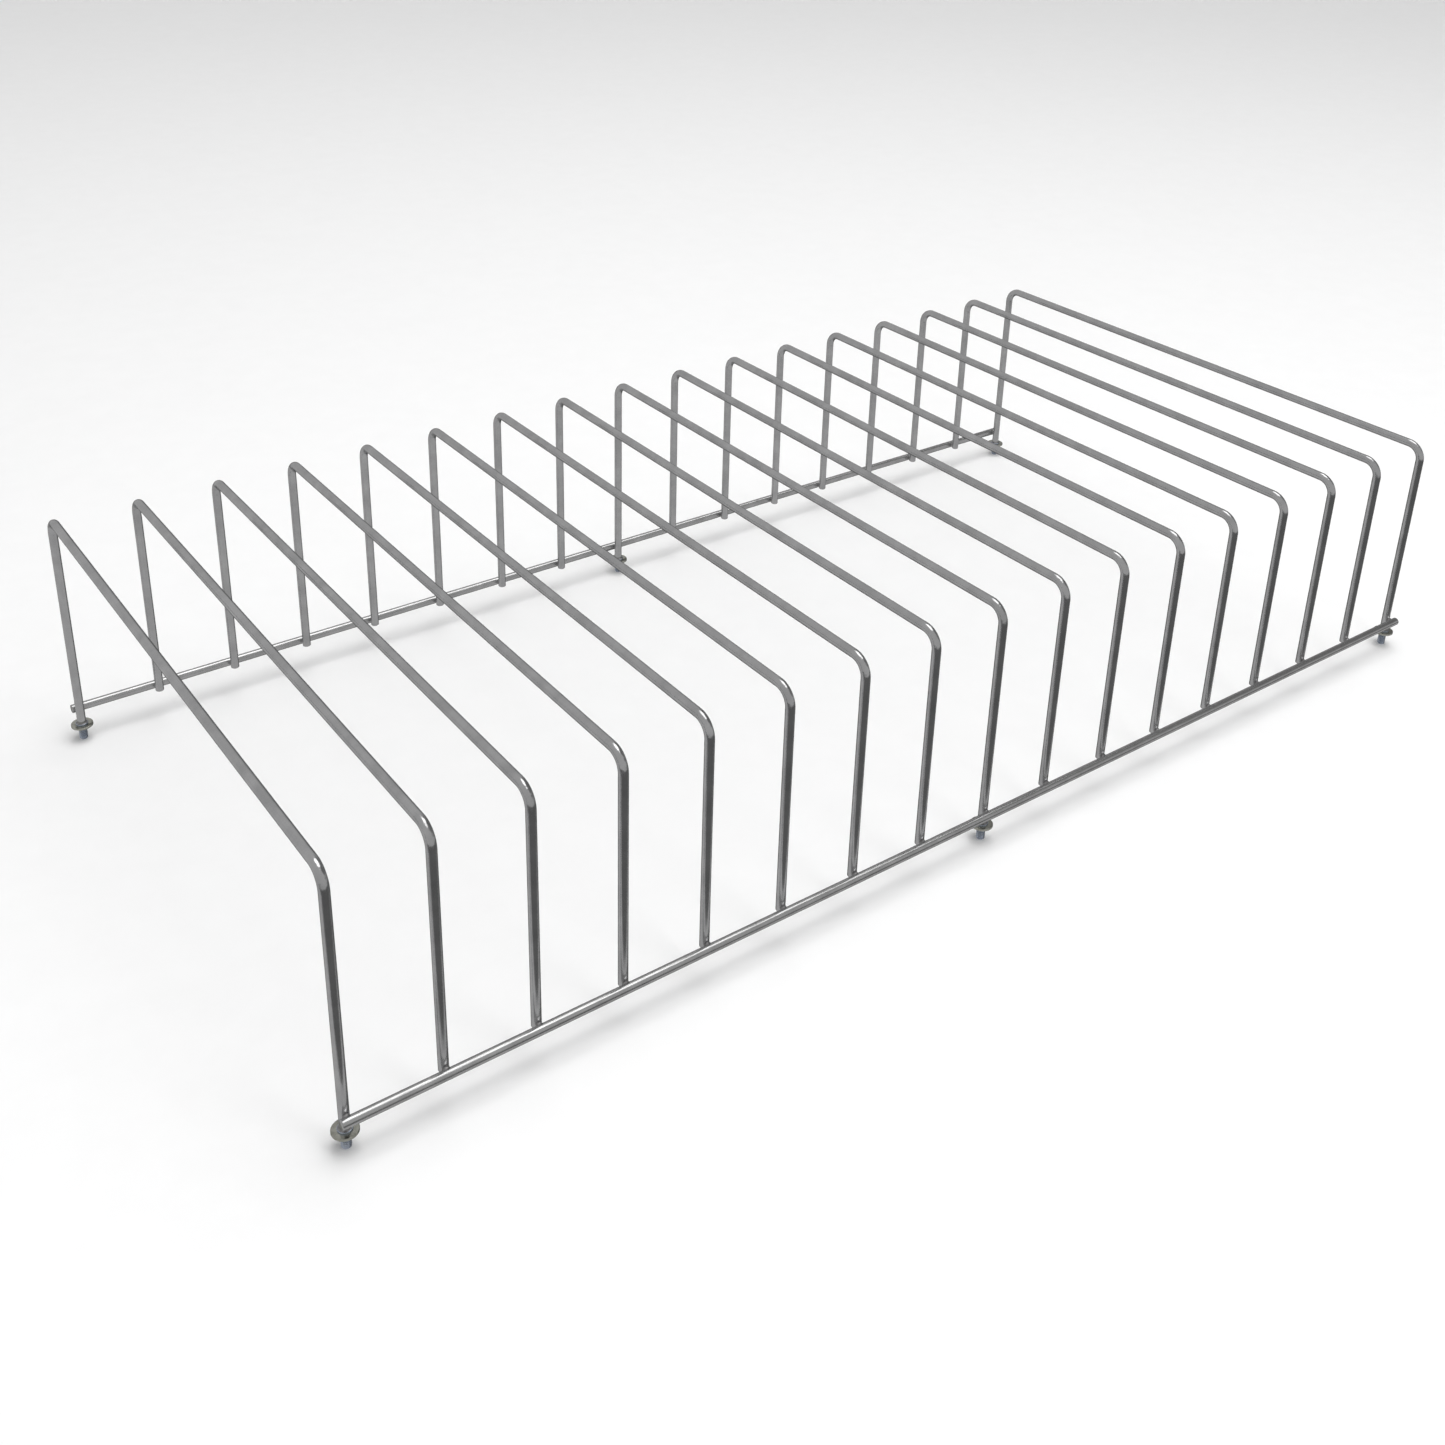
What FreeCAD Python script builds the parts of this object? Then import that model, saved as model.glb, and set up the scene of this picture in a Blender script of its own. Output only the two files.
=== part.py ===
import FreeCAD, Part
import math
import os
import Sketcher

# Wire divider rack. Seventeen bent wire hoops stand on two straight rails, welded to the outside of
# their legs. Six of the legs stand on the collars of threaded studs, which go down through a shelf.
#
# Frame: X runs along the rails, Y across the rack from front (-) to rear (+), Z up. The origin is in
# the middle of the plane on which the six washers seat, which is the top face of the shelf.

DIMENSIONS = [
    ("wire_diameter", 6.35, "quarter-inch round wire of the hoops and the rails"),
    ("hoop_count", 17, "hoops in the row"),
    ("hoop_pitch", 60.0, "from one hoop's centre line to the next"),
    ("leg_spacing", 472.0, "between the centre lines of a hoop's two legs"),
    ("bar_height", 162.0, "from the rails' centre lines to the top bars' centre lines"),
    ("bend_radius", 12.0, "of the wire's centre line at a hoop's corners"),
    ("rail_height", 12.0, "from the shelf to the rails' centre lines"),
    ("leg_overrun", 2.2, "of a plain leg below the rails' centre lines"),
    ("wire_end_chamfer", 0.5, "on the cut ends of the rails"),
    ("rail_length", 969.0, "cut length of each rail"),
    ("weld_gap", 0.3, "weld metal between a leg and its rail, at its thinnest"),
    ("rail_weld_diameter", 4.2, "of the weld nugget between a leg and its rail"),
    ("foot_weld_diameter", 8.0, "of the weld ring where a leg meets a stud's collar"),
    ("foot_weld_height", 0.8, "of that ring, up the leg"),
    ("foot_every", 8, "hoops from one pair of studs to the next"),
    ("thread_diameter", 6.2, "outside of a mating-fit quarter-inch thread"),
    ("stud_length", 13.0, "from under the collar to the tip"),
    ("stud_tip_chamfer", 0.9, "at the end of the thread"),
    ("neck_diameter", 5.5, "of the plain neck between the collar and the thread"),
    ("neck_reach", 0.3, "by which the neck is longer than the washer is thick"),
    ("collar_diameter", 9.0, "of the stud's collar"),
    ("collar_height", 1.0, "of the stud's collar"),
    ("collar_edge_radius", 0.25, "on the collar's top edge"),
    ("washer_diameter", 15.9, "outside"),
    ("washer_bore", 7.1, "inside, clear of the thread"),
    ("washer_thickness", 1.6, "of the washer"),
    ("washer_edge_radius", 0.3, "on the washer's punched top edge"),
]

# Heights of the main levels, as expressions of the sheet.
RAIL_LEVEL = "Dimensions.rail_height"
COLLAR_TOP = "(Dimensions.washer_thickness + Dimensions.collar_height)"
PLAIN_LEG_END = "(Dimensions.rail_height - Dimensions.leg_overrun)"
RAIL_OFFSET = "(Dimensions.leg_spacing / 2 + Dimensions.wire_diameter + Dimensions.weld_gap)"

doc = FreeCAD.newDocument("wire_divider_rack")


def add_sheet():
    """Puts every driving dimension in one spreadsheet, one alias a row."""
    sheet = doc.addObject("Spreadsheet::Sheet", "Dimensions")
    for row, (alias, value, meaning) in enumerate(DIMENSIONS, start=1):
        sheet.set(f"A{row}", meaning)
        sheet.set(f"B{row}", str(value))
        sheet.setAlias(f"B{row}", alias)
    doc.recompute()
    return sheet


def size(alias):
    """Reads one driving dimension."""
    return float(doc.Dimensions.get(alias))


def place(piece, **expressions):
    """Binds a piece's position to the sheet, one expression for each of x, y and z that it gives."""
    for axis, expression in expressions.items():
        piece.setExpression(f"Placement.Base.{axis}", expression)


def leg_end(number):
    """The level of a hoop's two leg ends, as an expression: lower where the hoop has studs."""
    has_studs = (number - 1) % int(size("foot_every")) == 0
    return COLLAR_TOP if has_studs else PLAIN_LEG_END


def hoop_place(number):
    """The place of a hoop along X, as an expression."""
    return f"({number} - (Dimensions.hoop_count + 1) / 2) * Dimensions.hoop_pitch"


def add_body(name):
    body = doc.addObject("PartDesign::Body", name)
    body.Label = name
    return body


def add_sketch(body, plane, name):
    """Adds a sketch on one of the body's own origin planes."""
    sketch = body.newObject("Sketcher::SketchObject", f"{body.Name}_{name}")
    support = next(item for item in body.Origin.OriginFeatures if item.Role == plane)
    sketch.AttachmentSupport = [(support, "")]
    sketch.MapMode = "FlatFace"
    return sketch


def bind(sketch, name, constraint, expression):
    """Adds a named sketch constraint and binds it to the sheet."""
    index = sketch.addConstraint(constraint)
    sketch.renameConstraint(index, name)
    sketch.setExpression(f"Constraints.{name}", expression)


def add_circle(sketch, name, diameter):
    """Adds a circle about the sketch's origin, as wide as the expression says."""
    circle = sketch.addGeometry(Part.Circle(FreeCAD.Vector(), FreeCAD.Vector(0, 0, 1), 1))
    sketch.addConstraint(Sketcher.Constraint("Coincident", circle, 3, -1, 1))
    bind(sketch, f"{name}_diameter", Sketcher.Constraint("Diameter", circle, 2), diameter)


def add_pad(body, sketch, name, length, reverse=False):
    pad = body.newObject("PartDesign::Pad", f"{body.Name}_{name}")
    pad.Profile = sketch
    pad.Reversed = reverse
    pad.setExpression("Length", length)
    doc.recompute()
    return pad


def edges_at(feature, height, axis="z", radius=None):
    """Names a feature's circular edges that lie at a height along an axis."""
    names = []
    for index, edge in enumerate(feature.Shape.Edges, start=1):
        is_circle = isinstance(edge.Curve, Part.Circle)
        if not is_circle or abs(getattr(edge.Curve.Center, axis) - height) > 1e-6:
            continue
        if radius is None or abs(edge.Curve.Radius - radius) < 1e-6:
            names.append(f"Edge{index}")
    return names


def add_edge_feature(body, kind, base, edges, amount):
    """Adds a Chamfer or a Fillet of the given size to some edges of a feature."""
    feature = body.newObject(f"PartDesign::{kind}", f"{body.Name}_{kind.lower()}")
    feature.Base = (base, edges)
    feature.setExpression("Size" if kind == "Chamfer" else "Radius", amount)
    doc.recompute()
    return feature


# ---- the wires ------------------------------------------------------------------------------------


def hoop_height(number):
    """From a hoop's leg ends to its top bar's centre line, as an expression."""
    return f"(Dimensions.rail_height + Dimensions.bar_height - {leg_end(number)})"


def add_hoop_path(body, number):
    """Draws a hoop's centre line: leg, bend, top bar, bend, leg, with the leg ends on the X axis."""
    path = add_sketch(body, "YZ_Plane", "path")
    half = size("leg_spacing") / 2
    bend = size("bend_radius")
    top = float(doc.Dimensions.evalExpression(hoop_height(number)))
    shoulder = top - bend
    out = FreeCAD.Vector(0, 0, 1)

    def arc(centre_x, first_angle):
        circle = Part.Circle(FreeCAD.Vector(centre_x, shoulder, 0), out, bend)
        return Part.ArcOfCircle(circle, first_angle, first_angle + math.pi / 2)

    def line(*ends):
        return Part.LineSegment(*[FreeCAD.Vector(across, up, 0) for across, up in ends])

    front_leg = path.addGeometry(line((-half, 0), (-half, shoulder)))
    front_bend = path.addGeometry(arc(bend - half, math.pi / 2))
    bar = path.addGeometry(line((bend - half, top), (half - bend, top)))
    rear_bend = path.addGeometry(arc(half - bend, 0))
    rear_leg = path.addGeometry(line((half, shoulder), (half, 0)))

    start, end, x_axis, y_axis = 1, 2, -1, -2
    for constraint in (
        ("Tangent", front_leg, end, front_bend, end),
        ("Tangent", front_bend, start, bar, start),
        ("Tangent", bar, end, rear_bend, end),
        ("Tangent", rear_bend, start, rear_leg, start),
        ("Vertical", front_leg),
        ("Horizontal", bar),
        ("Vertical", rear_leg),
        ("Equal", front_bend, rear_bend),
        ("PointOnObject", front_leg, start, x_axis),
        ("Symmetric", front_leg, start, rear_leg, end, y_axis),
    ):
        path.addConstraint(Sketcher.Constraint(*constraint))
    spacing = Sketcher.Constraint("DistanceX", front_leg, start, rear_leg, end, 2 * half)
    bind(path, "leg_spacing", spacing, "Dimensions.leg_spacing")
    height = Sketcher.Constraint("DistanceY", front_leg, start, bar, start, top)
    bind(path, "height", height, hoop_height(number))
    bind(path, "bend", Sketcher.Constraint("Radius", front_bend, bend), "Dimensions.bend_radius")
    return path


def add_hoop(number):
    """One hoop: the wire's round section swept along the path, standing on its leg ends."""
    body = add_body(f"hoop_{number:02d}")
    section = add_sketch(body, "XY_Plane", "section")
    circle = section.addGeometry(Part.Circle(FreeCAD.Vector(0, -1, 0), FreeCAD.Vector(0, 0, 1), 1))
    section.addConstraint(Sketcher.Constraint("PointOnObject", circle, 3, -2))
    half_spacing = Sketcher.Constraint("DistanceY", circle, 3, -1, 1, 1)
    bind(section, "half_spacing", half_spacing, "Dimensions.leg_spacing / 2")
    wire = Sketcher.Constraint("Diameter", circle, 2)
    bind(section, "wire", wire, "Dimensions.wire_diameter")
    path = add_hoop_path(body, number)
    doc.recompute()

    sweep = body.newObject("PartDesign::AdditivePipe", f"{body.Name}_sweep")
    sweep.Profile = section
    sweep.Spine = (path, [f"Edge{index}" for index in range(1, len(path.Shape.Edges) + 1)])
    place(body, x=hoop_place(number), z=leg_end(number))
    doc.recompute()
    return body


def add_rail(name, side):
    """One straight rail outside the legs, with its two cut ends chamfered."""
    body = add_body(name)
    section = add_sketch(body, "YZ_Plane", "section")
    add_circle(section, "wire", "Dimensions.wire_diameter")
    pad = add_pad(body, section, "wire", "Dimensions.rail_length")
    ends = edges_at(pad, 0, "x") + edges_at(pad, size("rail_length"), "x")
    add_edge_feature(body, "Chamfer", pad, ends, "Dimensions.wire_end_chamfer")
    place(body, x="-Dimensions.rail_length / 2", y=f"{side} * {RAIL_OFFSET}", z=RAIL_LEVEL)
    doc.recompute()
    return body


# ---- studs and washers ----------------------------------------------------------------------------


def add_groove(body, name, corners):
    """Turns a closed outline off the body, all round its Z axis.

    Each corner is a pair of expressions: its distance from the axis and its height.
    """
    sketch = add_sketch(body, "XZ_Plane", f"{name}_outline")
    values = [[doc.Dimensions.evalExpression(text) for text in corner] for corner in corners]
    points = [FreeCAD.Vector(across, up, 0) for across, up in values]
    sides = [
        sketch.addGeometry(Part.LineSegment(point, points[(step + 1) % len(points)]))
        for step, point in enumerate(points)
    ]
    for step, (side, corner, (across, up)) in enumerate(zip(sides, corners, values)):
        following = sides[(step + 1) % len(sides)]
        sketch.addConstraint(Sketcher.Constraint("Coincident", side, 2, following, 1))
        distance = Sketcher.Constraint("DistanceX", -1, 1, side, 1, across)
        bind(sketch, f"across_{step}", distance, corner[0])
        if abs(up) < 1e-9:
            sketch.addConstraint(Sketcher.Constraint("PointOnObject", side, 1, -1))
        else:
            height = Sketcher.Constraint("DistanceY", -1, 1, side, 1, up)
            bind(sketch, f"height_{step}", height, corner[1])
    base = body.Tip
    groove = body.newObject("PartDesign::Groove", f"{body.Name}_{name}")
    groove.Profile = sketch
    groove.ReferenceAxis = (sketch, ["V_Axis"])
    groove.Angle = 360
    doc.recompute()
    if not groove.Shape.Volume < base.Shape.Volume:
        raise RuntimeError(f"{groove.Name} cut nothing")
    return groove


def add_neck(body):
    """Turns the thread down to a neck under the collar, as far as just below the washer."""
    inner = "Dimensions.neck_diameter / 2"
    beyond = "Dimensions.thread_diameter"
    bottom = "-(Dimensions.washer_thickness + Dimensions.neck_reach)"
    corners = [(inner, "0"), (beyond, "0"), (beyond, bottom), (inner, bottom)]
    return add_groove(body, "neck", corners)


def add_stud(name, number, side):
    """One threaded stud with a collar, which seats on top of its washer."""
    body = add_body(name)
    thread_section = add_sketch(body, "XY_Plane", "thread_section")
    add_circle(thread_section, "thread", "Dimensions.thread_diameter")
    thread = add_pad(body, thread_section, "thread", "Dimensions.stud_length", reverse=True)
    tip = edges_at(thread, -size("stud_length"))
    add_edge_feature(body, "Chamfer", thread, tip, "Dimensions.stud_tip_chamfer")
    add_neck(body)
    collar_section = add_sketch(body, "XY_Plane", "collar_section")
    add_circle(collar_section, "collar", "Dimensions.collar_diameter")
    collar = add_pad(body, collar_section, "collar", "Dimensions.collar_height")
    rim = edges_at(collar, size("collar_height"))
    add_edge_feature(body, "Fillet", collar, rim, "Dimensions.collar_edge_radius")
    leg = f"{side} * Dimensions.leg_spacing / 2"
    place(body, x=hoop_place(number), y=leg, z="Dimensions.washer_thickness")
    doc.recompute()
    return body


def add_washer(name, number, side):
    """One flat washer, lying on the plane z = 0, with its top rim rounded by the punch."""
    body = add_body(name)
    ring = add_sketch(body, "XY_Plane", "ring")
    add_circle(ring, "rim", "Dimensions.washer_diameter")
    add_circle(ring, "bore", "Dimensions.washer_bore")
    pad = add_pad(body, ring, "ring", "Dimensions.washer_thickness")
    rim = edges_at(pad, size("washer_thickness"), radius=size("washer_diameter") / 2)
    add_edge_feature(body, "Fillet", pad, rim, "Dimensions.washer_edge_radius")
    place(body, x=hoop_place(number), y=f"{side} * Dimensions.leg_spacing / 2")
    doc.recompute()
    return body


# ---- welds ----------------------------------------------------------------------------------------


def add_group(kind, name, pieces):
    """Joins several shapes in one Part::Compound or Part::MultiFuse."""
    group = doc.addObject(kind, name)
    if kind == "Part::Compound":
        group.Links = pieces
    else:
        group.Shapes = pieces
    return group


def add_cut(name, base, tool):
    cut = doc.addObject("Part::Cut", name)
    cut.Base = base
    cut.Tool = tool
    cut.Label = name
    doc.recompute()
    return cut


def add_rail_welds(name, side, rail, hoops):
    """The nuggets between one rail and its legs: round plugs, less the wires that they join."""
    # A cylinder is made along +Z, and this turns it to point from the leg to the rail.
    outward = FreeCAD.Rotation(FreeCAD.Vector(1, 0, 0), -90 * side)
    plugs = []
    for number in range(1, len(hoops) + 1):
        plug = doc.addObject("Part::Cylinder", f"{name}_plug_{number:02d}")
        plug.Placement.Rotation = outward
        plug.setExpression("Radius", "Dimensions.rail_weld_diameter / 2")
        plug.setExpression("Height", "Dimensions.wire_diameter + Dimensions.weld_gap")
        place(plug, x=hoop_place(number), y=f"{side} * Dimensions.leg_spacing / 2", z=RAIL_LEVEL)
        plugs.append(plug)
    wires = add_group("Part::Compound", f"{name}_wires", [*hoops, rail])
    return add_cut(name, add_group("Part::Compound", f"{name}_plugs", plugs), wires)


def add_foot_welds(name, feet, hoops):
    """The rings where six legs meet their studs' collars: low cones, less the legs inside them."""
    cones = []
    for number, side in feet:
        side_name = "front" if side < 0 else "rear"
        cone = doc.addObject("Part::Cone", f"{name}_cone_{number:02d}_{side_name}")
        cone.setExpression("Radius1", "Dimensions.foot_weld_diameter / 2")
        cone.setExpression("Radius2", "Dimensions.wire_diameter / 2 + Dimensions.weld_gap")
        cone.setExpression("Height", "Dimensions.foot_weld_height")
        place(cone, x=hoop_place(number), y=f"{side} * Dimensions.leg_spacing / 2", z=COLLAR_TOP)
        cones.append(cone)
    legs = [hoops[number - 1] for number in sorted({number for number, _ in feet})]
    rings = add_group("Part::Compound", f"{name}_cones", cones)
    return add_cut(name, rings, add_group("Part::Compound", f"{name}_legs", legs))


# ---- the whole rack -------------------------------------------------------------------------------


def build():
    """Makes every piece and returns those that are kept, in order."""
    front, rear = -1, 1
    count = int(size("hoop_count"))
    hoops = [add_hoop(number) for number in range(1, count + 1)]
    front_rail = add_rail("front_rail", front)
    rear_rail = add_rail("rear_rail", rear)

    feet = []
    fasteners = []
    foot_hoops = range(1, count + 1, int(size("foot_every")))
    for number, place_name in zip(foot_hoops, ("left", "middle", "right")):
        for side, side_name in ((front, "front"), (rear, "rear")):
            feet.append((number, side))
            fasteners.append(add_stud(f"foot_stud_{side_name}_{place_name}", number, side))
            fasteners.append(add_washer(f"foot_washer_{side_name}_{place_name}", number, side))

    welds = [
        add_rail_welds("front_rail_welds", front, front_rail, hoops),
        add_rail_welds("rear_rail_welds", rear, rear_rail, hoops),
        add_foot_welds("foot_welds", feet, hoops),
    ]
    return [*hoops, front_rail, rear_rail, *fasteners, *welds]


def check(pieces):
    """Stops if any object of the document failed, or if a piece isn't whole."""
    for item in doc.Objects:
        if "Invalid" in item.State or "Error" in item.State:
            raise RuntimeError(f"{item.Name} failed: {item.State}")
    for piece in pieces:
        if piece.Shape.isNull() or not piece.Shape.isValid() or not piece.Shape.Solids:
            raise RuntimeError(f"{piece.Label} is not a valid solid")
    wire_area = math.pi * (size("wire_diameter") / 2) ** 2
    corner_saving = 2 * size("bend_radius") * (2 - math.pi / 2)
    for number in range(1, int(size("hoop_count")) + 1):
        height = float(doc.Dimensions.evalExpression(hoop_height(number)))
        expected = wire_area * (2 * height + size("leg_spacing") - corner_saving)
        if abs(pieces[number - 1].Shape.Volume - expected) > 0.001 * expected:
            raise RuntimeError(f"the volume of hoop {number} isn't its section times its length")


def write(pieces):
    os.makedirs("parts", exist_ok=True)
    for piece in pieces:
        piece.Shape.exportStep(os.path.join("parts", f"{piece.Label}.step"))
        box = piece.Shape.optimalBoundingBox()
        count = len(piece.Shape.Solids)
        print(f"{piece.Label}: {count} solid(s), {box.XLength:.1f} x {box.YLength:.1f} x {box.ZLength:.1f}")


add_sheet()
kept = build()
doc.recompute()
check(kept)
write(kept)
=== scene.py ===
import math
import random
from collections import namedtuple

import bpy
from mathutils import Euler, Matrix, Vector, noise


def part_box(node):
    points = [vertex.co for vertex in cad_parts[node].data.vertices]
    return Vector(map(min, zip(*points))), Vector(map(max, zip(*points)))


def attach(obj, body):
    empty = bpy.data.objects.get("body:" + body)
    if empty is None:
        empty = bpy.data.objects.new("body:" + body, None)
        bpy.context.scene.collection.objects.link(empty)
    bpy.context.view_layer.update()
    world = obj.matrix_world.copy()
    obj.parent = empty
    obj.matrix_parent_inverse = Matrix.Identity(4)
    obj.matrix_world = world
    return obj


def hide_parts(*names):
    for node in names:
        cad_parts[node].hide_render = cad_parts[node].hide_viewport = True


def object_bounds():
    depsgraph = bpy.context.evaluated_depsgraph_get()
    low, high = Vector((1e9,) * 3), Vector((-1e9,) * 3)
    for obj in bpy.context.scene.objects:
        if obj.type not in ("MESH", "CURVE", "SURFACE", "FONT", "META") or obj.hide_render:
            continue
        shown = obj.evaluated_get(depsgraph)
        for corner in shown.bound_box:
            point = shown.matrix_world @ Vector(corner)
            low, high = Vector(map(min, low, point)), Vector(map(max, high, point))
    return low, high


# The looks of a welded wire divider rack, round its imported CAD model. Lengths are in metres. X runs
# along the rails, Y from front to rear and Z up, and z = 0 is the plane on which the washers seat.

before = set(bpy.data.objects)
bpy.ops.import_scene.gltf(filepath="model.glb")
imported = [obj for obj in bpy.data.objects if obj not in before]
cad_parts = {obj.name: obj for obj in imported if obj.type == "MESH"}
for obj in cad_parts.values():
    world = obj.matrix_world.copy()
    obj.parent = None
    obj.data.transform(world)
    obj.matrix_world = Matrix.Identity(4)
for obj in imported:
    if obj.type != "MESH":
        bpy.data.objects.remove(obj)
CAD_LOW, CAD_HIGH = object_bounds()

MM = 0.001
ROOT = "root"
FULL_TURN = 2 * math.pi

# ---- sizes, read from the frame or named here ------------------------------------------------------

HOOPS = sorted(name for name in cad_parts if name.startswith("hoop_"))
STUDS = sorted(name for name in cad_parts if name.startswith("foot_stud_"))
WASHERS = sorted(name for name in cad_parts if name.startswith("foot_washer_"))
FRONT, REAR = "front", "rear"

HOOP_LOW, HOOP_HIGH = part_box(HOOPS[0])
WIRE_RADIUS = (HOOP_HIGH.x - HOOP_LOW.x) / 2
LEG_OFFSET = HOOP_HIGH.y - WIRE_RADIUS
BAR_LEVEL = HOOP_HIGH.z - WIRE_RADIUS
BEND_RADIUS = 12 * MM
RAIL_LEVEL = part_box("front_rail")[0].z + WIRE_RADIUS
COLLAR_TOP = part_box(STUDS[0])[1].z

WIRE_SIDES = 36
BEND_STEPS = 14
BEND_FLATTENING = 0.035
CUT_ROUNDING = 0.5 * MM
HEAT_REACH = 3.2 * MM
WELD_GAP = 0.3 * MM
# The least and most half length, half depth and half height of a weld nugget.
NUGGET_SIZES = ((2.3 * MM, 2.75 * MM), (1.5 * MM, 1.75 * MM), (2.3 * MM, 2.7 * MM))
NUGGET_UNEVENNESS = 0.16
BEAD_UNEVENNESS = 0.12
BEAD_WIDTH = 1.0 * MM
BEAD_HEIGHT = 0.8 * MM

THREAD_PITCH = 1.27 * MM
THREAD_DEPTH = 0.7 * MM
THREAD_RADIUS = 3.1 * MM
NECK_RADIUS = 2.75 * MM
NECK_REACH = 0.3 * MM
TIP_CHAMFER = 0.9 * MM
COLLAR_ROUNDING = 0.25 * MM
WASHER_BORE_RADIUS = 3.55 * MM
STUD_SIDES = 72
WASHER_SIDES = 96
WASHER_ROUNDING = 0.35 * MM


def middle(name):
    """The middle of a CAD node's box."""
    low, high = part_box(name)
    return (low + high) / 2


def finish_piece(piece, node, material):
    """Gives a new piece its material and body, and hides the CAD node it stands for."""
    piece.data.materials.append(material)
    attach(piece, ROOT)
    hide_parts(node)


# ---- mesh code -------------------------------------------------------------------------------------

Ring = namedtuple("Ring", "points length marks")


def skin(name, rings, closed=False):
    """Joins rings of points with quads, from one pole or open ring to the next, as one smooth mesh.

    The first and last ring are closed with a fan round their middle, unless the rings make a loop.
    Each ring's marks are numbers that the materials read, by name, at its points.
    """
    sides = len(rings[0].points)
    points = [point for ring in rings for point in ring.points]
    faces = []
    face_uvs = []
    spans = len(rings) if closed else len(rings) - 1
    for row in range(spans):
        after = (row + 1) % len(rings)
        for step in range(sides):
            following = (step + 1) % sides
            faces.append((row * sides + step, row * sides + following,
                          after * sides + following, after * sides + step))
            low, high = rings[row].length, rings[after].length
            left, right = step / sides, (step + 1) / sides
            face_uvs += [(left, low), (right, low), (right, high), (left, high)]
    marks = {mark: [ring.marks[mark] for ring in rings for _ in ring.points] for mark in rings[0].marks}
    if not closed:
        for row, order in ((0, -1), (len(rings) - 1, 1)):
            ring = rings[row]
            pole = len(points)
            points.append(sum(ring.points, Vector()) / sides)
            for mark in marks:
                marks[mark].append(ring.marks[mark])
            for step in range(sides):
                edge = (row * sides + step, row * sides + (step + 1) % sides)[::order]
                faces.append((*edge, pole))
                face_uvs += [(step / sides, ring.length)] * 3
    mesh = bpy.data.meshes.new(name)
    mesh.from_pydata(points, [], faces)
    mesh.shade_smooth()
    uv_map = mesh.uv_layers.new(name="along")
    uv_map.data.foreach_set("uv", [value for pair in face_uvs for value in pair])
    for mark, values in marks.items():
        mesh.attributes.new(mark, "FLOAT", "POINT").data.foreach_set("value", values)
    mesh.validate()
    piece = bpy.data.objects.new(name, mesh)
    bpy.context.scene.collection.objects.link(piece)
    return piece


def sharpen(piece, degrees):
    """Keeps edges sharper than an angle crisp in the smooth shading."""
    piece.data.set_sharp_from_angle(angle=math.radians(degrees))


def circle(centre, side, normal, radius, sides, squash=1.0):
    """Points round a centre, from the direction of side towards normal."""
    turns = [FULL_TURN * step / sides for step in range(sides)]
    return [
        centre + side * (radius * math.cos(turn)) + normal * (radius * squash * math.sin(turn))
        for turn in turns
    ]


# ---- the wires -------------------------------------------------------------------------------------

Station = namedtuple("Station", "centre normal bend")


def spread(first, last, finest, widest):
    """Places between two ends of a straight run: close together at both ends, wide apart between."""
    offsets = [0.0]
    step = finest
    while offsets[-1] + step < abs(last - first) / 2:
        offsets.append(offsets[-1] + step)
        step = min(step * 1.35, widest)
    way = 1 if last > first else -1
    places = [first + way * offset for offset in offsets]
    return places + [last - way * offset for offset in reversed(offsets)]


def leg_stations(x, leg_end, side):
    """Stations up one leg, from its cut end to its shoulder."""
    outward = Vector((0, side, 0))
    levels = spread(leg_end, BAR_LEVEL - BEND_RADIUS, 0.8 * MM, 16 * MM)
    return [Station(Vector((x, side * LEG_OFFSET, level)), outward, 0.0) for level in levels]


def bend_stations(x, side):
    """Stations round one corner, from its leg to the top bar."""
    centre = Vector((x, side * (LEG_OFFSET - BEND_RADIUS), BAR_LEVEL - BEND_RADIUS))
    stations = []
    for step in range(1, BEND_STEPS):
        turn = math.pi / 2 * step / BEND_STEPS
        normal = Vector((0, side * math.cos(turn), math.sin(turn)))
        stations.append(Station(centre + normal * BEND_RADIUS, normal, math.sin(2 * turn)))
    return stations


def bar_stations(x):
    """Stations along the top bar, from front to rear."""
    reach = LEG_OFFSET - BEND_RADIUS
    up = Vector((0, 0, 1))
    return [Station(Vector((x, y, BAR_LEVEL)), up, 0.0) for y in spread(-reach, reach, 1.5 * MM, 24 * MM)]


def rail_stations(low, high, level, y):
    """Stations along a rail, close together at each weld."""
    up = Vector((0, 0, 1))
    stops = [low.x, *[middle(hoop).x for hoop in HOOPS if low.x < middle(hoop).x < high.x], high.x]
    places = []
    for first, last in zip(stops, stops[1:]):
        places += spread(first, last, 0.6 * MM, 9 * MM)
    kept = [place for place, following in zip(places, places[1:]) if following - place > 0.1 * MM]
    return [Station(Vector((x, y, level)), up, 0.0) for x in [*kept, high.x]]


def wire(name, stations, side, welds):
    """A round wire along its stations, with rounded cut ends, slightly flattened where it is bent.

    A weld leaves the mark "heat" on the wire round it, and a bend the mark "bend".
    """
    rings = []
    length = 0.0
    previous = stations[0].centre
    for station in stations:
        length += (station.centre - previous).length
        previous = station.centre
        nearest = min(((station.centre - weld).length for weld in welds), default=1.0)
        marks = {"heat": math.exp(-(nearest / HEAT_REACH) ** 2), "bend": station.bend}
        flattened = 1 - BEND_FLATTENING * station.bend
        points = circle(station.centre, side, station.normal, WIRE_RADIUS, WIRE_SIDES, flattened)
        rings.append(Ring(points, length, marks))
    for end, beside in ((0, 1), (-1, -2)):
        along = (stations[end].centre - stations[beside].centre).normalized()
        rings = round_end(rings, stations[end], side, along, first=end == 0)
    return skin(name, rings)


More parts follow.
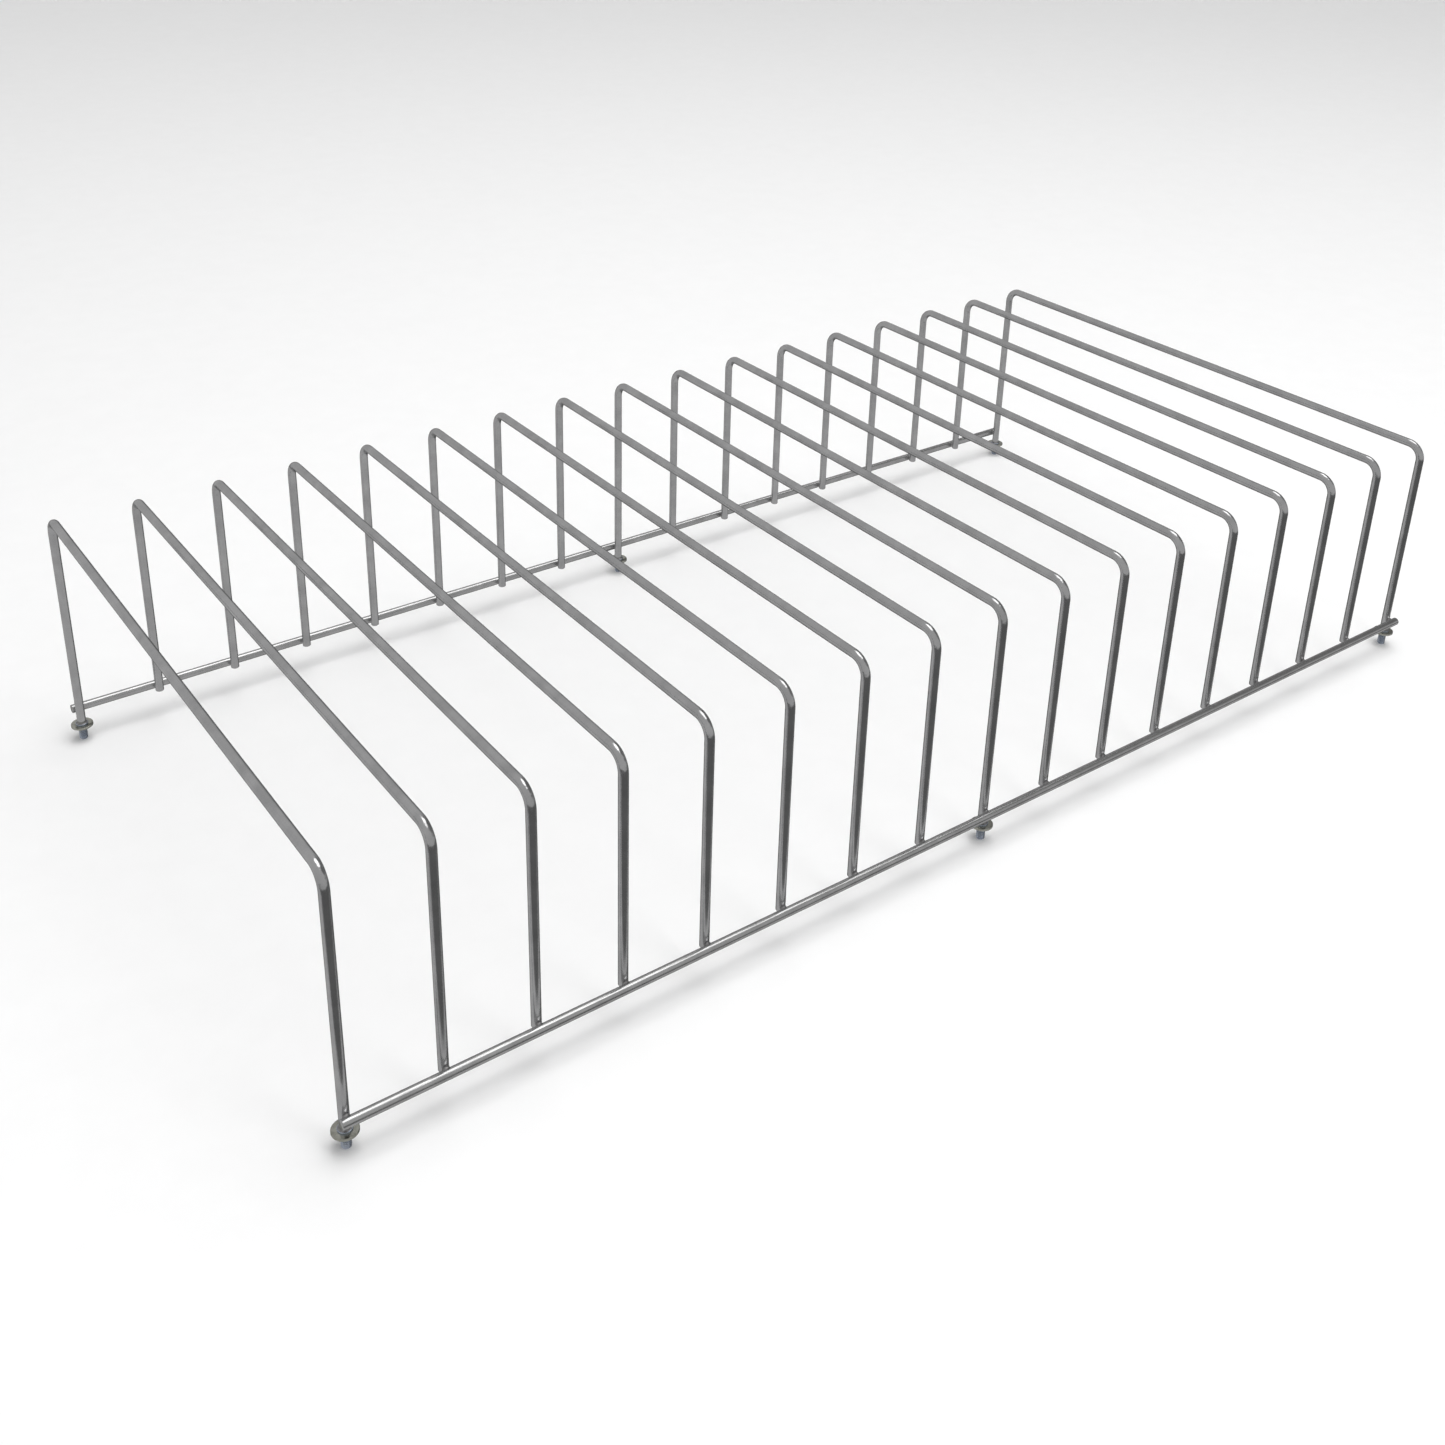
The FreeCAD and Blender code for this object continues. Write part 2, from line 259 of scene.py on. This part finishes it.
def round_end(rings, station, side, along, first):
    """Replaces the last ring at one end by a few that round the cut edge."""
    end_ring = rings[0] if first else rings[-1]
    made = []
    for turn in (0.0, 0.35, 0.7, 1.0):
        angle = turn * math.pi / 2
        radius = WIRE_RADIUS - CUT_ROUNDING * (1 - math.cos(angle))
        centre = station.centre - along * (CUT_ROUNDING * (1 - math.sin(angle)))
        points = circle(centre, side, station.normal, radius, WIRE_SIDES)
        made.append(Ring(points, end_ring.length, end_ring.marks))
    if first:
        return made[::-1] + rings[1:]
    return rings[:-1] + made


def make_hoop(node, material):
    """One bent hoop: front leg, corner, top bar, corner, rear leg."""
    x = middle(node).x
    leg_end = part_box(node)[0].z
    front_half = leg_stations(x, leg_end, -1) + bend_stations(x, -1)
    rear_half = leg_stations(x, leg_end, 1) + bend_stations(x, 1)
    stations = front_half + bar_stations(x) + rear_half[::-1]
    welds = [Vector((x, side * (LEG_OFFSET + WIRE_RADIUS), RAIL_LEVEL)) for side in (-1, 1)]
    piece = wire(f"wire_{node}", stations, Vector((1, 0, 0)), welds)
    finish_piece(piece, node, material)


def make_rail(place, material):
    """One straight rail, welded to the outside of every leg."""
    node = f"{place}_rail"
    low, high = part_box(node)
    y = (low.y + high.y) / 2
    inner = y - math.copysign(WIRE_RADIUS, y)
    welds = [Vector((middle(hoop).x, inner, RAIL_LEVEL)) for hoop in HOOPS]
    stations = rail_stations(low, high, (low.z + high.z) / 2, y)
    piece = wire(f"wire_{node}", stations, Vector((0, 1, 0)), welds)
    finish_piece(piece, node, material)


# ---- studs and washers -----------------------------------------------------------------------------


def turned(name, centre, outline, sides):
    """A piece made round a vertical axis.

    The outline is a list of levels from one pole to the other: a height, a function that gives the
    radius at an angle, and how much painted shade darkens the colour there.
    """
    rings = []
    for height, radius_at, painted_recess_shade in outline:
        points = []
        for step in range(sides):
            turn = FULL_TURN * step / sides
            radius = radius_at(turn)
            x = centre.x + radius * math.cos(turn)
            y = centre.y + radius * math.sin(turn)
            points.append(Vector((x, y, height)))
        rings.append(Ring(points, height, {"painted_recess_shade": painted_recess_shade}))
    return skin(name, rings)


def collar_outline(low, high, radius):
    """Levels down a stud's collar: its top disc, its rounded rim and its underside."""
    levels = []
    for step in range(6):
        turn = math.pi / 2 * step / 5
        reach = radius - COLLAR_ROUNDING * (1 - math.sin(turn))
        height = high - COLLAR_ROUNDING * (1 - math.cos(turn))
        levels.append((height, lambda turn, reach=reach: reach, 0.0))
    # The underside gets painted shade, denser towards its bottom edge.
    levels.append((low + COLLAR_ROUNDING / 2, lambda turn: radius, 0.3))
    levels.append((low, lambda turn: radius - COLLAR_ROUNDING / 2, 0.6))
    return levels


def thread_outline(top, bottom):
    """Levels down the threaded shank: a helix cut in a cylinder, shallow at the tip's chamfer."""
    rows_per_pitch = 10
    rows = round((top - bottom) / THREAD_PITCH * rows_per_pitch)
    levels = []
    for row in range(rows + 1):
        height = top + (bottom - top) * row / rows
        limit = THREAD_RADIUS - max(0.0, TIP_CHAMFER - (height - bottom))

        def radius_at(turn, height=height, limit=limit):
            phase = (height / THREAD_PITCH + turn / FULL_TURN) % 1
            flank = abs(2 * phase - 1)
            depth = THREAD_DEPTH * min(1.0, max(0.0, 1.25 * flank - 0.12))
            return min(limit, THREAD_RADIUS - depth)

        # The whole thread is darkened a little with painted shade.
        levels.append((height, radius_at, 0.35))
    return levels


def make_stud(node, material):
    """One stud: collar, plain neck and rolled thread."""
    low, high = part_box(node)
    washer_low, washer_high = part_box(node.replace("_stud_", "_washer_"))
    thread_top = washer_low.z - NECK_REACH
    outline = collar_outline(washer_high.z, high.z, (high.y - low.y) / 2)
    # The neck, in the washer's bore under the collar, is darkened strongly with painted shade.
    outline.append((washer_high.z, lambda turn: NECK_RADIUS, 0.8))
    outline.append((thread_top + NECK_REACH / 2, lambda turn: NECK_RADIUS, 0.8))
    outline += thread_outline(thread_top, low.z)
    piece = turned(f"threaded_{node}", middle(node), outline, STUD_SIDES)
    sharpen(piece, 25)
    finish_piece(piece, node, material)


def make_washer(node, material):
    """One punched washer: rounded at its top rim, square below, with a clean bore."""
    low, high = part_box(node)
    outer = (high.x - low.x) / 2
    inner = WASHER_BORE_RADIUS
    rolled = WASHER_ROUNDING
    centre = middle(node)
    corners = [(inner, high.z - 0.1 * MM), (inner + 0.1 * MM, high.z)]
    for step in range(6):
        turn = math.pi / 2 * step / 5
        corners.append((outer - rolled * (1 - math.sin(turn)), high.z - rolled * (1 - math.cos(turn))))
    corners += [(outer, low.z + 0.08 * MM), (outer - 0.08 * MM, low.z)]
    corners += [(inner + 0.15 * MM, low.z), (inner, low.z + 0.15 * MM)]
    rings = []
    for radius, height in corners:
        middle_point = Vector((centre.x, centre.y, height))
        points = circle(middle_point, Vector((1, 0, 0)), Vector((0, 1, 0)), radius, WASHER_SIDES)
        rings.append(Ring(points, radius + height, {"painted_recess_shade": 0.0}))
    piece = skin(f"punched_{node}", rings, closed=True)
    sharpen(piece, 30)
    finish_piece(piece, node, material)


# ---- welds -----------------------------------------------------------------------------------------


def nugget(centre, radii, seed):
    """Rings of a lump of weld metal, uneven as it set."""
    rows, sides = 12, 24
    rings = []
    for row in range(1, rows):
        rise = math.pi * row / rows
        points = []
        for step in range(sides):
            turn = FULL_TURN * step / sides
            across = math.sin(rise)
            way = Vector((across * math.cos(turn), math.cos(rise), across * math.sin(turn)))
            uneven = 1 + NUGGET_UNEVENNESS * noise.noise(way * 1.7 + Vector((seed, 0, 0)))
            points.append(centre + Vector([size * part for size, part in zip(radii, way)]) * uneven)
        rings.append(Ring(points, row / rows, {"heat": 1.0, "bend": 0.0}))
    return rings


def joined(name, lumps):
    """Makes one piece of several sets of rings."""
    pieces = [skin(f"{name}_{number}", rings) for number, rings in enumerate(lumps)]
    with bpy.context.temp_override(active_object=pieces[0], selected_editable_objects=pieces):
        bpy.ops.object.join()
    pieces[0].name = name
    return pieces[0]


def make_rail_welds(place, material):
    """The nuggets between one rail and its legs, squeezed out a little round the crossing."""
    node = f"{place}_rail_welds"
    side = -1 if place == FRONT else 1
    y = side * (LEG_OFFSET + WIRE_RADIUS + WELD_GAP / 2)
    lumps = []
    for number, hoop in enumerate(HOOPS):
        x = middle(hoop).x
        chance = random.Random(number * 7 + side)
        radii = [chance.uniform(*limits) for limits in NUGGET_SIZES]
        lumps.append(nugget(Vector((x, y, RAIL_LEVEL)), radii, number * 3.1 + side))
    piece = joined(f"nuggets_{node}", lumps)
    finish_piece(piece, node, material)


def foot_ring(centre, seed):
    """Rings round the bead of weld metal where a leg meets its stud's collar."""
    rings = []
    for row in range(9):
        rise = math.pi / 2 * row / 8
        points = []
        for step in range(48):
            turn = FULL_TURN * step / 48
            around = Vector((math.cos(turn), math.sin(turn), 0))
            ripple = BEAD_UNEVENNESS * noise.noise(around * 2.4 + Vector((seed, 0, 0)))
            width = BEAD_WIDTH * (1 + ripple)
            height = BEAD_HEIGHT * (1 + ripple)
            reach = WIRE_RADIUS + width * (1 - math.sin(rise))
            points.append(centre + around * reach + Vector((0, 0, height * (1 - math.cos(rise)))))
        rings.append(Ring(points, row / 8, {"heat": 1.0, "bend": 0.0}))
    return rings


def make_foot_welds(material):
    """The beads round six legs, on top of their studs' collars."""
    lumps = []
    for number, stud in enumerate(STUDS):
        place = middle(stud)
        lumps.append(foot_ring(Vector((place.x, place.y, COLLAR_TOP)), number * 5.3))
    piece = joined("beads_foot_welds", lumps)
    finish_piece(piece, "foot_welds", material)


# ---- materials -------------------------------------------------------------------------------------


def add_node(tree, kind, inputs=None, **settings):
    """Adds a shader node, sets its properties, and sets or links its inputs by name or number."""
    made = tree.nodes.new(kind)
    for name, value in settings.items():
        setattr(made, name, value)
    for name, value in (inputs or {}).items():
        if isinstance(value, bpy.types.NodeSocket):
            tree.links.new(value, made.inputs[name])
        else:
            made.inputs[name].default_value = value
    return made


def colour_output(mix):
    """The colour output of a colour mix node."""
    return next(socket for socket in mix.outputs if socket.type == "RGBA" and socket.enabled)


def colour_inputs(mix):
    """The two colour inputs of a colour mix node."""
    return [socket for socket in mix.inputs if socket.type == "RGBA"]


def colour_mix(tree, factor, first, second):
    """Mixes two colours, each a socket or three numbers."""
    mix = add_node(tree, "ShaderNodeMix", {"Factor": factor}, data_type="RGBA")
    for socket, value in zip(colour_inputs(mix), (first, second)):
        if isinstance(value, bpy.types.NodeSocket):
            tree.links.new(value, socket)
        else:
            socket.default_value = (*value, 1)
    return colour_output(mix)


def start_metal(name):
    """A metallic material with its tree, its shader and its place on the object."""
    material = bpy.data.materials.new(name)
    material.use_nodes = True
    tree = material.node_tree
    shader = tree.nodes["Principled BSDF"]
    shader.inputs["Metallic"].default_value = 1.0
    place = add_node(tree, "ShaderNodeTexCoord").outputs["Object"]
    return material, tree, shader, place


def noise_at(tree, place, scale, detail=3.0):
    """The value of a noise pattern, about 0.5 on average."""
    inputs = {"Vector": place, "Scale": scale, "Detail": detail}
    return add_node(tree, "ShaderNodeTexNoise", inputs).outputs["Fac"]


def ranged(tree, value, low, high, start=0.3, end=0.7):
    """Maps a value's range to another."""
    inputs = {"Value": value, "From Min": start, "From Max": end, "To Min": low, "To Max": high}
    return add_node(tree, "ShaderNodeMapRange", inputs).outputs["Result"]


def calculate(tree, operation, first, second=0.0):
    """One step of arithmetic on sockets or numbers."""
    return add_node(tree, "ShaderNodeMath", {0: first, 1: second}, operation=operation).outputs["Value"]


def bumped(tree, shader, *layers):
    """Chains bump nodes, each a height socket and its depth in metres, into the shader's normal."""
    normal = None
    for height, depth in layers:
        inputs = {"Height": height, "Distance": depth, "Strength": 1.0}
        if normal is not None:
            inputs["Normal"] = normal
        normal = add_node(tree, "ShaderNodeBump", inputs).outputs["Normal"]
    tree.links.new(normal, shader.inputs["Normal"])


def drawn_lines(tree, across_scale, along_scale):
    """Fine lines along a wire, left by the die it was drawn through."""
    uv = add_node(tree, "ShaderNodeUVMap", uv_map="along").outputs["UV"]
    parts = add_node(tree, "ShaderNodeSeparateXYZ", {"Vector": uv})
    turn = calculate(tree, "MULTIPLY", parts.outputs["X"], FULL_TURN)
    length = calculate(tree, "MULTIPLY", parts.outputs["Y"], along_scale)
    inputs = {"X": calculate(tree, "COSINE", turn), "Y": calculate(tree, "SINE", turn), "Z": length}
    round_place = add_node(tree, "ShaderNodeCombineXYZ", inputs).outputs["Vector"]
    return noise_at(tree, round_place, across_scale, 2.0)


def plated_wire(name, light, dark):
    """Bright plated steel wire: drawn lines, soft patches, a duller tint at welds and waves in bends."""
    material, tree, shader, place = start_metal(name)
    patches = noise_at(tree, place, 70.0, 4.0)
    specks = noise_at(tree, place, 900.0, 2.0)
    lines = drawn_lines(tree, 16.0, 0.6)
    heat = add_node(tree, "ShaderNodeAttribute", attribute_name="heat").outputs["Fac"]
    bend = add_node(tree, "ShaderNodeAttribute", attribute_name="bend").outputs["Fac"]
    plated = colour_mix(tree, ranged(tree, patches, 0.0, 1.0), light, dark)
    lined = colour_mix(tree, ranged(tree, lines, 0.0, 0.5, 0.45, 0.75), plated, dark)
    tint = colour_mix(tree, calculate(tree, "MULTIPLY", heat, 0.7), lined, (0.2, 0.19, 0.185))
    tree.links.new(tint, shader.inputs["Base Color"])
    worn = calculate(tree, "ADD", ranged(tree, patches, 0.13, 0.21), ranged(tree, lines, -0.02, 0.05))
    rough = calculate(tree, "ADD", worn, calculate(tree, "MULTIPLY", heat, 0.16))
    tree.links.new(rough, shader.inputs["Roughness"])
    waves = calculate(tree, "MULTIPLY", noise_at(tree, place, 260.0, 1.0), bend)
    bumped(tree, shader, (lines, 0.035 * MM), (specks, 0.008 * MM), (waves, 0.5 * MM))
    return material


def zinc(name, light, dark, painted_shade_colour, roughness):
    """Zinc plate: crystalline patches, fine grain, and painted shade on its recessed parts."""
    material, tree, shader, place = start_metal(name)
    patches = noise_at(tree, place, 320.0, 4.0)
    grain = noise_at(tree, place, 3000.0, 2.0)
    # Painted shade: a mark on the mesh pulls the colour towards a dark colour on recessed parts.
    painted_recess_shade = add_node(tree, "ShaderNodeAttribute", attribute_name="painted_recess_shade").outputs["Fac"]
    plated = colour_mix(tree, ranged(tree, patches, 0.0, 1.0), light, dark)
    tree.links.new(colour_mix(tree, painted_recess_shade, plated, painted_shade_colour), shader.inputs["Base Color"])
    rough = calculate(tree, "ADD", ranged(tree, patches, *roughness), ranged(tree, grain, -0.04, 0.04))
    tree.links.new(rough, shader.inputs["Roughness"])
    bumped(tree, shader, (patches, 0.05 * MM), (grain, 0.012 * MM))
    return material


def weld_metal():
    """Weld metal under the same plating: darker, rough and rippled."""
    material, tree, shader, place = start_metal("plated_weld")
    patches = noise_at(tree, place, 700.0, 4.0)
    grain = noise_at(tree, place, 2600.0, 3.0)
    colour = colour_mix(tree, ranged(tree, patches, 0.0, 1.0), (0.46, 0.45, 0.455), (0.24, 0.235, 0.235))
    tree.links.new(colour, shader.inputs["Base Color"])
    tree.links.new(ranged(tree, patches, 0.26, 0.42), shader.inputs["Roughness"])
    bumped(tree, shader, (patches, 0.18 * MM), (grain, 0.03 * MM))
    return material


# ---- stage, light and camera -----------------------------------------------------------------------

STAGE_RADIUS = 14.0
STAGE_WALL = 6.0
STAGE_CURVE = 4.0


def make_stage():
    """A pale floor whose far edge curves up into a wall, so that no horizon shows."""
    sides = 96
    level = CAD_LOW.z
    outline = [(STAGE_RADIUS * step / 8, level) for step in range(1, 9)]
    for step in range(1, 13):
        turn = math.pi / 2 * step / 12
        radius = STAGE_RADIUS + STAGE_CURVE * math.sin(turn)
        outline.append((radius, level + STAGE_CURVE * (1 - math.cos(turn))))
    outline.append((STAGE_RADIUS + STAGE_CURVE, level + STAGE_CURVE + STAGE_WALL))
    points = [Vector((0, 0, level))]
    for radius, height in outline:
        points += circle(Vector((0, 0, height)), Vector((1, 0, 0)), Vector((0, 1, 0)), radius, sides)
    faces = [(0, 1 + step, 1 + (step + 1) % sides) for step in range(sides)]
    for row in range(len(outline) - 1):
        for step in range(sides):
            first, following = 1 + row * sides + step, 1 + row * sides + (step + 1) % sides
            faces.append((first, first + sides, following + sides, following))
    mesh = bpy.data.meshes.new("pale_floor")
    mesh.from_pydata(points, [], faces)
    mesh.shade_smooth()
    floor = bpy.data.objects.new("pale_floor", mesh)
    bpy.context.scene.collection.objects.link(floor)
    material = bpy.data.materials.new("pale_paper")
    material.use_nodes = True
    tree = material.node_tree
    shader = tree.nodes["Principled BSDF"]
    place = add_node(tree, "ShaderNodeTexCoord").outputs["Object"]
    grain = noise_at(tree, place, 40.0)
    colour = colour_mix(tree, grain, (0.9, 0.9, 0.9), (0.93, 0.93, 0.93))
    tree.links.new(colour, shader.inputs["Base Color"])
    shader.inputs["Roughness"].default_value = 0.9
    shader.inputs["Specular IOR Level"].default_value = 0.1
    mesh.materials.append(material)
    floor.visible_glossy = False


def direction(azimuth, elevation):
    """A unit vector. Azimuth 0 is +Y and 90 is +X, in degrees, and elevation is above the horizon."""
    turn, rise = math.radians(azimuth), math.radians(elevation)
    return Vector((math.sin(turn) * math.cos(rise), math.cos(turn) * math.cos(rise), math.sin(rise)))


# The room that the metal reflects: an even grey with soft lighter and darker parts. Each part has its
# azimuth and elevation, its half width and soft edge in degrees, and what it adds to the room's grey.
ROOM_BRIGHTNESS = 0.5
ROOM_DARKEST = 0.03
CARD_BRIGHTNESS = 0.14
ROOM_PARTS = {
    "dark_far_floor": (37, -34, 30, 26, -0.4),
    "dark_right_wall": (88, 32, 22, 20, -0.32),
    "pale_ceiling": (77, 73, 15, 8, 2.0),
}


def make_room():
    """World light: an even grey room with a few soft panels."""
    world = bpy.data.worlds.new("studio_room")
    bpy.context.scene.world = world
    world.use_nodes = True
    tree = world.node_tree
    background = tree.nodes["Background"]
    way = add_node(tree, "ShaderNodeTexCoord").outputs["Generated"]
    total = ROOM_BRIGHTNESS
    for azimuth, elevation, half_width, edge, brightness in ROOM_PARTS.values():
        towards = add_node(tree, "ShaderNodeVectorMath", {0: way, 1: direction(azimuth, elevation)},
                           operation="DOT_PRODUCT").outputs["Value"]
        inputs = {
            "Value": towards,
            "From Min": math.cos(math.radians(half_width + edge)),
            "From Max": math.cos(math.radians(half_width)),
            "To Min": 0.0,
            "To Max": brightness,
        }
        part = add_node(tree, "ShaderNodeMapRange", inputs, interpolation_type="SMOOTHSTEP")
        total = calculate(tree, "ADD", part.outputs["Result"], total)
    total = calculate(tree, "MAXIMUM", total, ROOM_DARKEST)
    tree.links.new(total, background.inputs["Color"])


def add_softbox(name, place, width, power):
    """A square area light that points at the rack and isn't seen in its reflections."""
    light = bpy.data.lights.new(name, "AREA")
    light.shape = "SQUARE"
    light.size = width
    light.energy = power
    lamp = bpy.data.objects.new(name, light)
    lamp.location = place
    lamp.rotation_euler = (-place).to_track_quat("-Z", "Y").to_euler()
    lamp.visible_glossy = False
    bpy.context.scene.collection.objects.link(lamp)


def make_dark_card():
    """A dark card on the floor in front of the rack, seen only in its reflections, as in a studio."""
    near, far, half_width = -0.285, -1.7, 1.2
    level = CAD_LOW.z + 1 * MM
    corners = [(-half_width, near), (-half_width, far), (half_width, far), (half_width, near)]
    mesh = bpy.data.meshes.new("dark_card")
    mesh.from_pydata([(x, y, level) for x, y in corners], [], [(0, 1, 2, 3)])
    card = bpy.data.objects.new("dark_card", mesh)
    bpy.context.scene.collection.objects.link(card)
    material = bpy.data.materials.new("dark_card")
    material.use_nodes = True
    shader = material.node_tree.nodes["Principled BSDF"]
    shader.inputs["Base Color"].default_value = (0, 0, 0, 1)
    shader.inputs["Specular IOR Level"].default_value = 0
    shader.inputs["Emission Color"].default_value = (1, 1, 1, 1)
    shader.inputs["Emission Strength"].default_value = CARD_BRIGHTNESS
    mesh.materials.append(material)
    card.visible_camera = False
    card.visible_diffuse = False
    card.visible_shadow = False


def make_lights():
    """Two softboxes that the metal doesn't reflect: its reflections come from the room and the card."""
    add_softbox("overhead_softbox", Vector((0.4, -0.3, 3.2)), width=3.0, power=55)
    add_softbox("front_softbox", Vector((0.0, -1.15, 1.15)), width=0.45, power=3)


def make_camera():
    """The camera, at a standing person's view of the rack on a table, a little above its near corner."""
    data = bpy.data.cameras.new("camera")
    data.lens = 41.1
    data.sensor_width = 36.0
    data.shift_y = -0.2
    data.clip_start = 0.01
    camera = bpy.data.objects.new("camera", data)
    camera.location = Vector((-0.7233, -0.8885, 0.7137))
    camera.rotation_euler = Euler([math.radians(angle) for angle in (66.322, -1.463, -36.061)], "XYZ")
    bpy.context.scene.collection.objects.link(camera)
    bpy.context.scene.camera = camera


def main():
    hoop_finish = plated_wire("plated_hoop_wire", (0.62, 0.62, 0.625), (0.5, 0.5, 0.505))
    rail_finish = plated_wire("plated_rail_wire", (0.6, 0.6, 0.6), (0.48, 0.48, 0.48))
    # Each zinc's darkest colour is the painted shade for its recessed parts.
    stud_finish = zinc(
        "blue_zinc",
        light=(0.66, 0.72, 0.83),
        dark=(0.50, 0.56, 0.67),
        painted_shade_colour=(0.26, 0.28, 0.31),
        roughness=(0.18, 0.3),
    )
    washer_finish = zinc(
        "olive_zinc",
        light=(0.56, 0.56, 0.51),
        dark=(0.38, 0.38, 0.33),
        painted_shade_colour=(0.2, 0.2, 0.17),
        roughness=(0.1, 0.22),
    )
    weld_finish = weld_metal()
    for hoop in HOOPS:
        make_hoop(hoop, hoop_finish)
    for place in (FRONT, REAR):
        make_rail(place, rail_finish)
        make_rail_welds(place, weld_finish)
    for stud in STUDS:
        make_stud(stud, stud_finish)
    for washer in WASHERS:
        make_washer(washer, washer_finish)
    make_foot_welds(weld_finish)
    make_stage()
    make_dark_card()
    make_room()
    make_lights()
    make_camera()
    bpy.context.scene.view_settings.view_transform = "Standard"


main()
